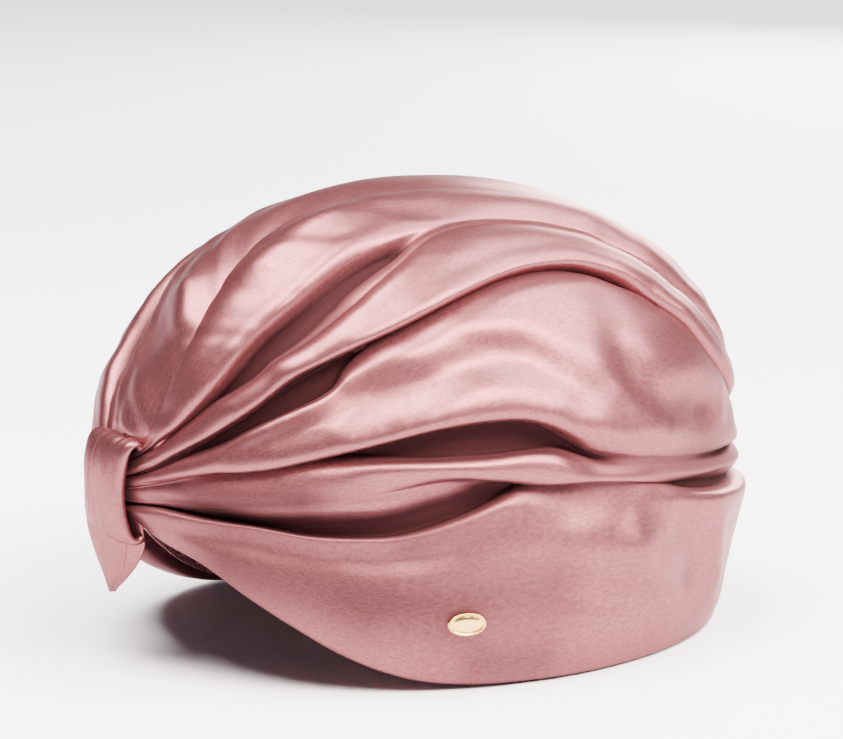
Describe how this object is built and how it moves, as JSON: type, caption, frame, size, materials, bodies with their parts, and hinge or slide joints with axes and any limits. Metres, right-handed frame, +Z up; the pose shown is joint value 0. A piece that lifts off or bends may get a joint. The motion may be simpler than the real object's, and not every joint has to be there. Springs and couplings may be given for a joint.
{
  "type": "draped satin turban headband",
  "caption": "Full draped satin turban headband, pleated into a front knot over a wired and lined cap, with a small plain oval plaque.",
  "frame": {"origin": "on the surface the turban stands on, under the middle of its box", "axes": "+Z up, -Y the way the wearer faces (the knot's side), +X the wearer's left"},
  "size_m": [0.1824, 0.228, 0.1458],
  "materials": {
    "satin": "heavy duchesse satin, dusty pink, glossy",
    "wadding": "soft white wadding",
    "stiffened_net": "starched open net",
    "lining_cloth": "smooth acetate lining",
    "ribbed_ribbon": "cross-ribbed grosgrain",
    "cotton_tape": "plain twill tape",
    "sewing_thread": "polyester thread",
    "label_tape": "woven damask tape, blank",
    "printed_tape": "satin tape, blank",
    "millinery_wire": "drawn steel wire",
    "joiner_brass": "plain brass tube",
    "plate_brass": "plain brass sheet",
    "gold_tone_metal": "polished pale gold plating"
  },
  "bodies": {
    "turban": {"left_drape": "satin", "right_drape": "satin", "knot_wrap": "satin", "knot_tail": "satin", "knot_core": "wadding", "knot_stay": "cotton_tape", "back_seam_tape": "cotton_tape", "left_wadding": "wadding", "right_wadding": "wadding", "foundation_cap": "stiffened_net", "left_lining": "lining_cloth", "right_lining": "lining_cloth", "sweatband": "ribbed_ribbon", "edge_wire": "millinery_wire", "wire_joiner": "joiner_brass", "ornament_plaque": "gold_tone_metal", "ornament_backplate": "plate_brass", "woven_label": "label_tape", "knot_tack_upper": "sewing_thread", "knot_tack_lower": "sewing_thread", "back_tack_upper": "sewing_thread", "back_tack_lower": "sewing_thread"},
    "label_slip": {"care_label": "printed_tape"}
  },
  "joints": [
    {"name": "label_flip", "type": "hinge", "parent": "turban", "child": "label_slip", "pos_m": [0.04421, 0.08592, 0.057], "axis": [-0.7524, 0.6587, 0], "range_deg": [0, 130]}
  ]
}
